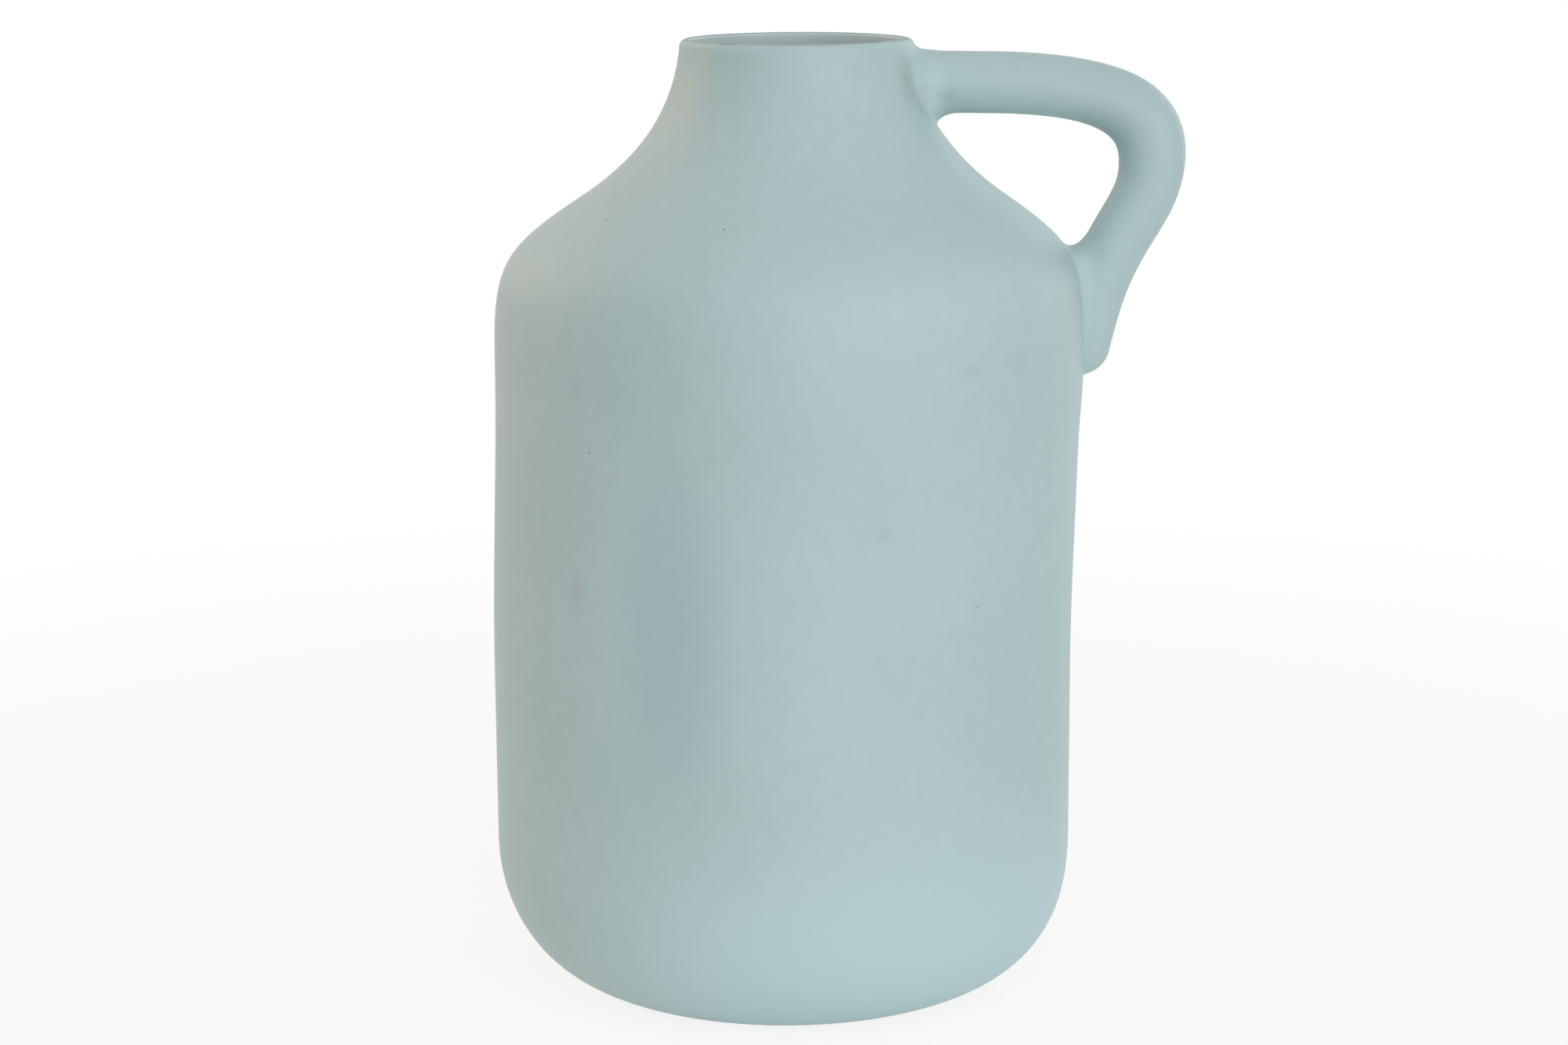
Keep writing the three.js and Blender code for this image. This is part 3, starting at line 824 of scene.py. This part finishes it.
# Lays the sections one by one on a plain ring
def smoothSlip(name, node, start, joint):
    sections = [filletSection(centre, joint) for centre in rollBall(start, joint)]
    around, across = bothSlips["blankRadii"]
    bpy.ops.object.select_all(action="DESELECT")
    bpy.ops.mesh.primitive_torus_add(
        major_segments=len(sections),
        minor_segments=len(sections[0]),
        major_radius=around,
        minor_radius=across,
    )
    piece = namePrimitive(name)
    for i, vertex in enumerate(piece.data.vertices):
        section, step = divmod(i, len(sections[0]))
        vertex.co = sections[section][step]
    bpy.ops.object.mode_set(mode="EDIT")
    turnFacesOut()
    finishPiece(piece, node, stonewareGlaze)


armZ = lipTop - rodHandle["armDrop"]
armX = radiusAt(armZ) + leanAt(armZ)
overArmZ = armZ + rodHandle["rodRadius"] + neckSlip["startOffset"]
overArm = Vector((armX + neckSlip["startOffset"], 0, overArmZ))
smoothSlip("neckSlip", "neck_slip_joint", overArm, neckSlip)

tailZ = wallTop - rodHandle["tailDrop"]
underTailX = vaseBody["bodyRadius"] + leanAt(tailZ) + shoulderSlip["startOffset"]
underTail = Vector((underTailX, 0, tailZ - shoulderSlip["startOffset"]))
smoothSlip("shoulderSlip", "shoulder_slip_joint", underTail, shoulderSlip)

# Studio: a pale floor that runs out to white, soft lamps, and an even sky
studio = {
    "floorRadius": 12,
    "floorSides": 96,
    "floorColor": "#FDFDFB",
    "farFloorColor": "#A8A8A6",
    "farFloor": (0.3, 1.2),  # the floor turns from one colour to the other between these distances
    "floorWhite": 0.85,  # share of plain white near the vase, where its shadow still shows
    "shadowReach": (0.25, 0.8),  # the shadow's share fades to nothing between these distances
    "skyColor": "#FFFFFF",
    "skyStrength": 0.35,
    "aim": (0, 0, 150 * mm),
    # Azimuth from the camera's side towards the handle, elevation, distance, width, height, watts, colour
    "lamps": {
        "key": (10, 15, 1.2, 0.42, 0.75, 2.45, "#FFFFFF"),
        "side": (45, 15, 1.2, 1.12, 0.75, 2.8, "#FFFFFF"),
        "high": (10, 50, 1.3, 2.2, 0.6, 1.85, "#FFFFFF"),
        "rearRight": (135, 16, 1.3, 0.7, 0.8, 1.95, "#FFFFFF"),
        "left": (-103, 20, 1.3, 0.58, 0.8, 1.7, "#FFD4AD"),
        "rearLeft": (-125, 26, 1.3, 0.7, 0.8, 2.5, "#FFD4AD"),
        "top": (0, 86, 1.3, 0.85, 0.85, 1.75, "#FFFFFF"),
    },
}


# White for the camera and for reflections, while the floor and sky still light the vase plainly
def whiteRays(tree):
    path = addNode(tree, "ShaderNodeLightPath").outputs
    seen = path["Is Camera Ray"]
    for kind in ("Is Glossy Ray", "Is Transmission Ray"):
        seen = addNode(tree, "ShaderNodeMath", {"operation": "MAXIMUM"}, {0: seen, 1: path[kind]}).outputs[0]
    return seen


def makeFloor():
    s = studio
    bpy.ops.object.select_all(action="DESELECT")
    bpy.ops.mesh.primitive_circle_add(
        vertices=s["floorSides"], radius=s["floorRadius"], fill_type="NGON", location=(0, 0, 0)
    )
    floor = bpy.context.object
    floor.name = "floor"
    material = bpy.data.materials.new("pale_matt_floor")
    material.use_nodes = True
    tree = material.node_tree
    shader = tree.nodes["Principled BSDF"]
    shader.inputs["Roughness"].default_value = 1
    shader.inputs["Specular IOR Level"].default_value = 0
    place = addNode(tree, "ShaderNodeTexCoord").outputs["Object"]
    out = addNode(tree, "ShaderNodeVectorMath", {"operation": "LENGTH"}, {0: place}).outputs["Value"]
    farRange = easedRange | {"From Min": s["farFloor"][0], "From Max": s["farFloor"][1]}
    far = addNode(tree, "ShaderNodeMapRange", farRange, {"Value": out})
    ends = {"data_type": "RGBA", 6: linearColor(s["floorColor"]), 7: linearColor(s["farFloorColor"])}
    paint = addNode(tree, "ShaderNodeMix", ends, {0: far.outputs[0]})
    tree.links.new(paint.outputs[2], shader.inputs["Base Color"])
    whiteRange = easedRange | {
        "From Min": s["shadowReach"][0],
        "From Max": s["shadowReach"][1],
        "To Min": s["floorWhite"],
    }
    white = addNode(tree, "ShaderNodeMapRange", whiteRange, {"Value": out})
    shares = {0: white.outputs[0], 1: whiteRays(tree)}
    share = addNode(tree, "ShaderNodeMath", {"operation": "MULTIPLY"}, shares)
    glow = addNode(tree, "ShaderNodeEmission", {"Strength": 1})
    mixed = {0: share.outputs[0], 1: shader.outputs[0], 2: glow.outputs[0]}
    mix = addNode(tree, "ShaderNodeMixShader", None, mixed)
    tree.links.new(mix.outputs[0], tree.nodes["Material Output"].inputs["Surface"])
    floor.data.materials.append(material)


def addLamp(name, azimuth, elevation, distance, width, height, watts, color):
    lamp = bpy.data.objects.new(name, bpy.data.lights.new(name, "AREA"))
    bpy.context.scene.collection.objects.link(lamp)
    lamp.data.shape = "RECTANGLE"
    lamp.data.size, lamp.data.size_y = width, height
    lamp.data.energy = watts
    lamp.data.color = linearColor(color)[:3]
    lamp.visible_camera = False
    turn, rise = math.radians(azimuth), math.radians(elevation)
    away = Vector((math.sin(turn) * math.cos(rise), -math.cos(turn) * math.cos(rise), math.sin(rise)))
    facing = (-away).to_track_quat("-Z", "Y").to_matrix().to_4x4()
    lamp.matrix_world = Matrix.Translation(Vector(studio["aim"]) + away * distance) @ facing


def makeSky():
    world = bpy.data.worlds.new("studio")
    bpy.context.scene.world = world
    world.use_nodes = True
    tree = world.node_tree
    sky = tree.nodes["Background"]
    sky.inputs["Color"].default_value = linearColor(studio["skyColor"])
    sky.inputs["Strength"].default_value = studio["skyStrength"]
    white = addNode(tree, "ShaderNodeBackground", {"Color": (1, 1, 1, 1), "Strength": 1})
    mixed = {0: whiteRays(tree), 1: sky.outputs[0], 2: white.outputs[0]}
    mix = addNode(tree, "ShaderNodeMixShader", None, mixed)
    tree.links.new(mix.outputs[0], tree.nodes["World Output"].inputs["Surface"])


makeFloor()
for name, values in studio["lamps"].items():
    addLamp(name, *values)
makeSky()
print("studio set")
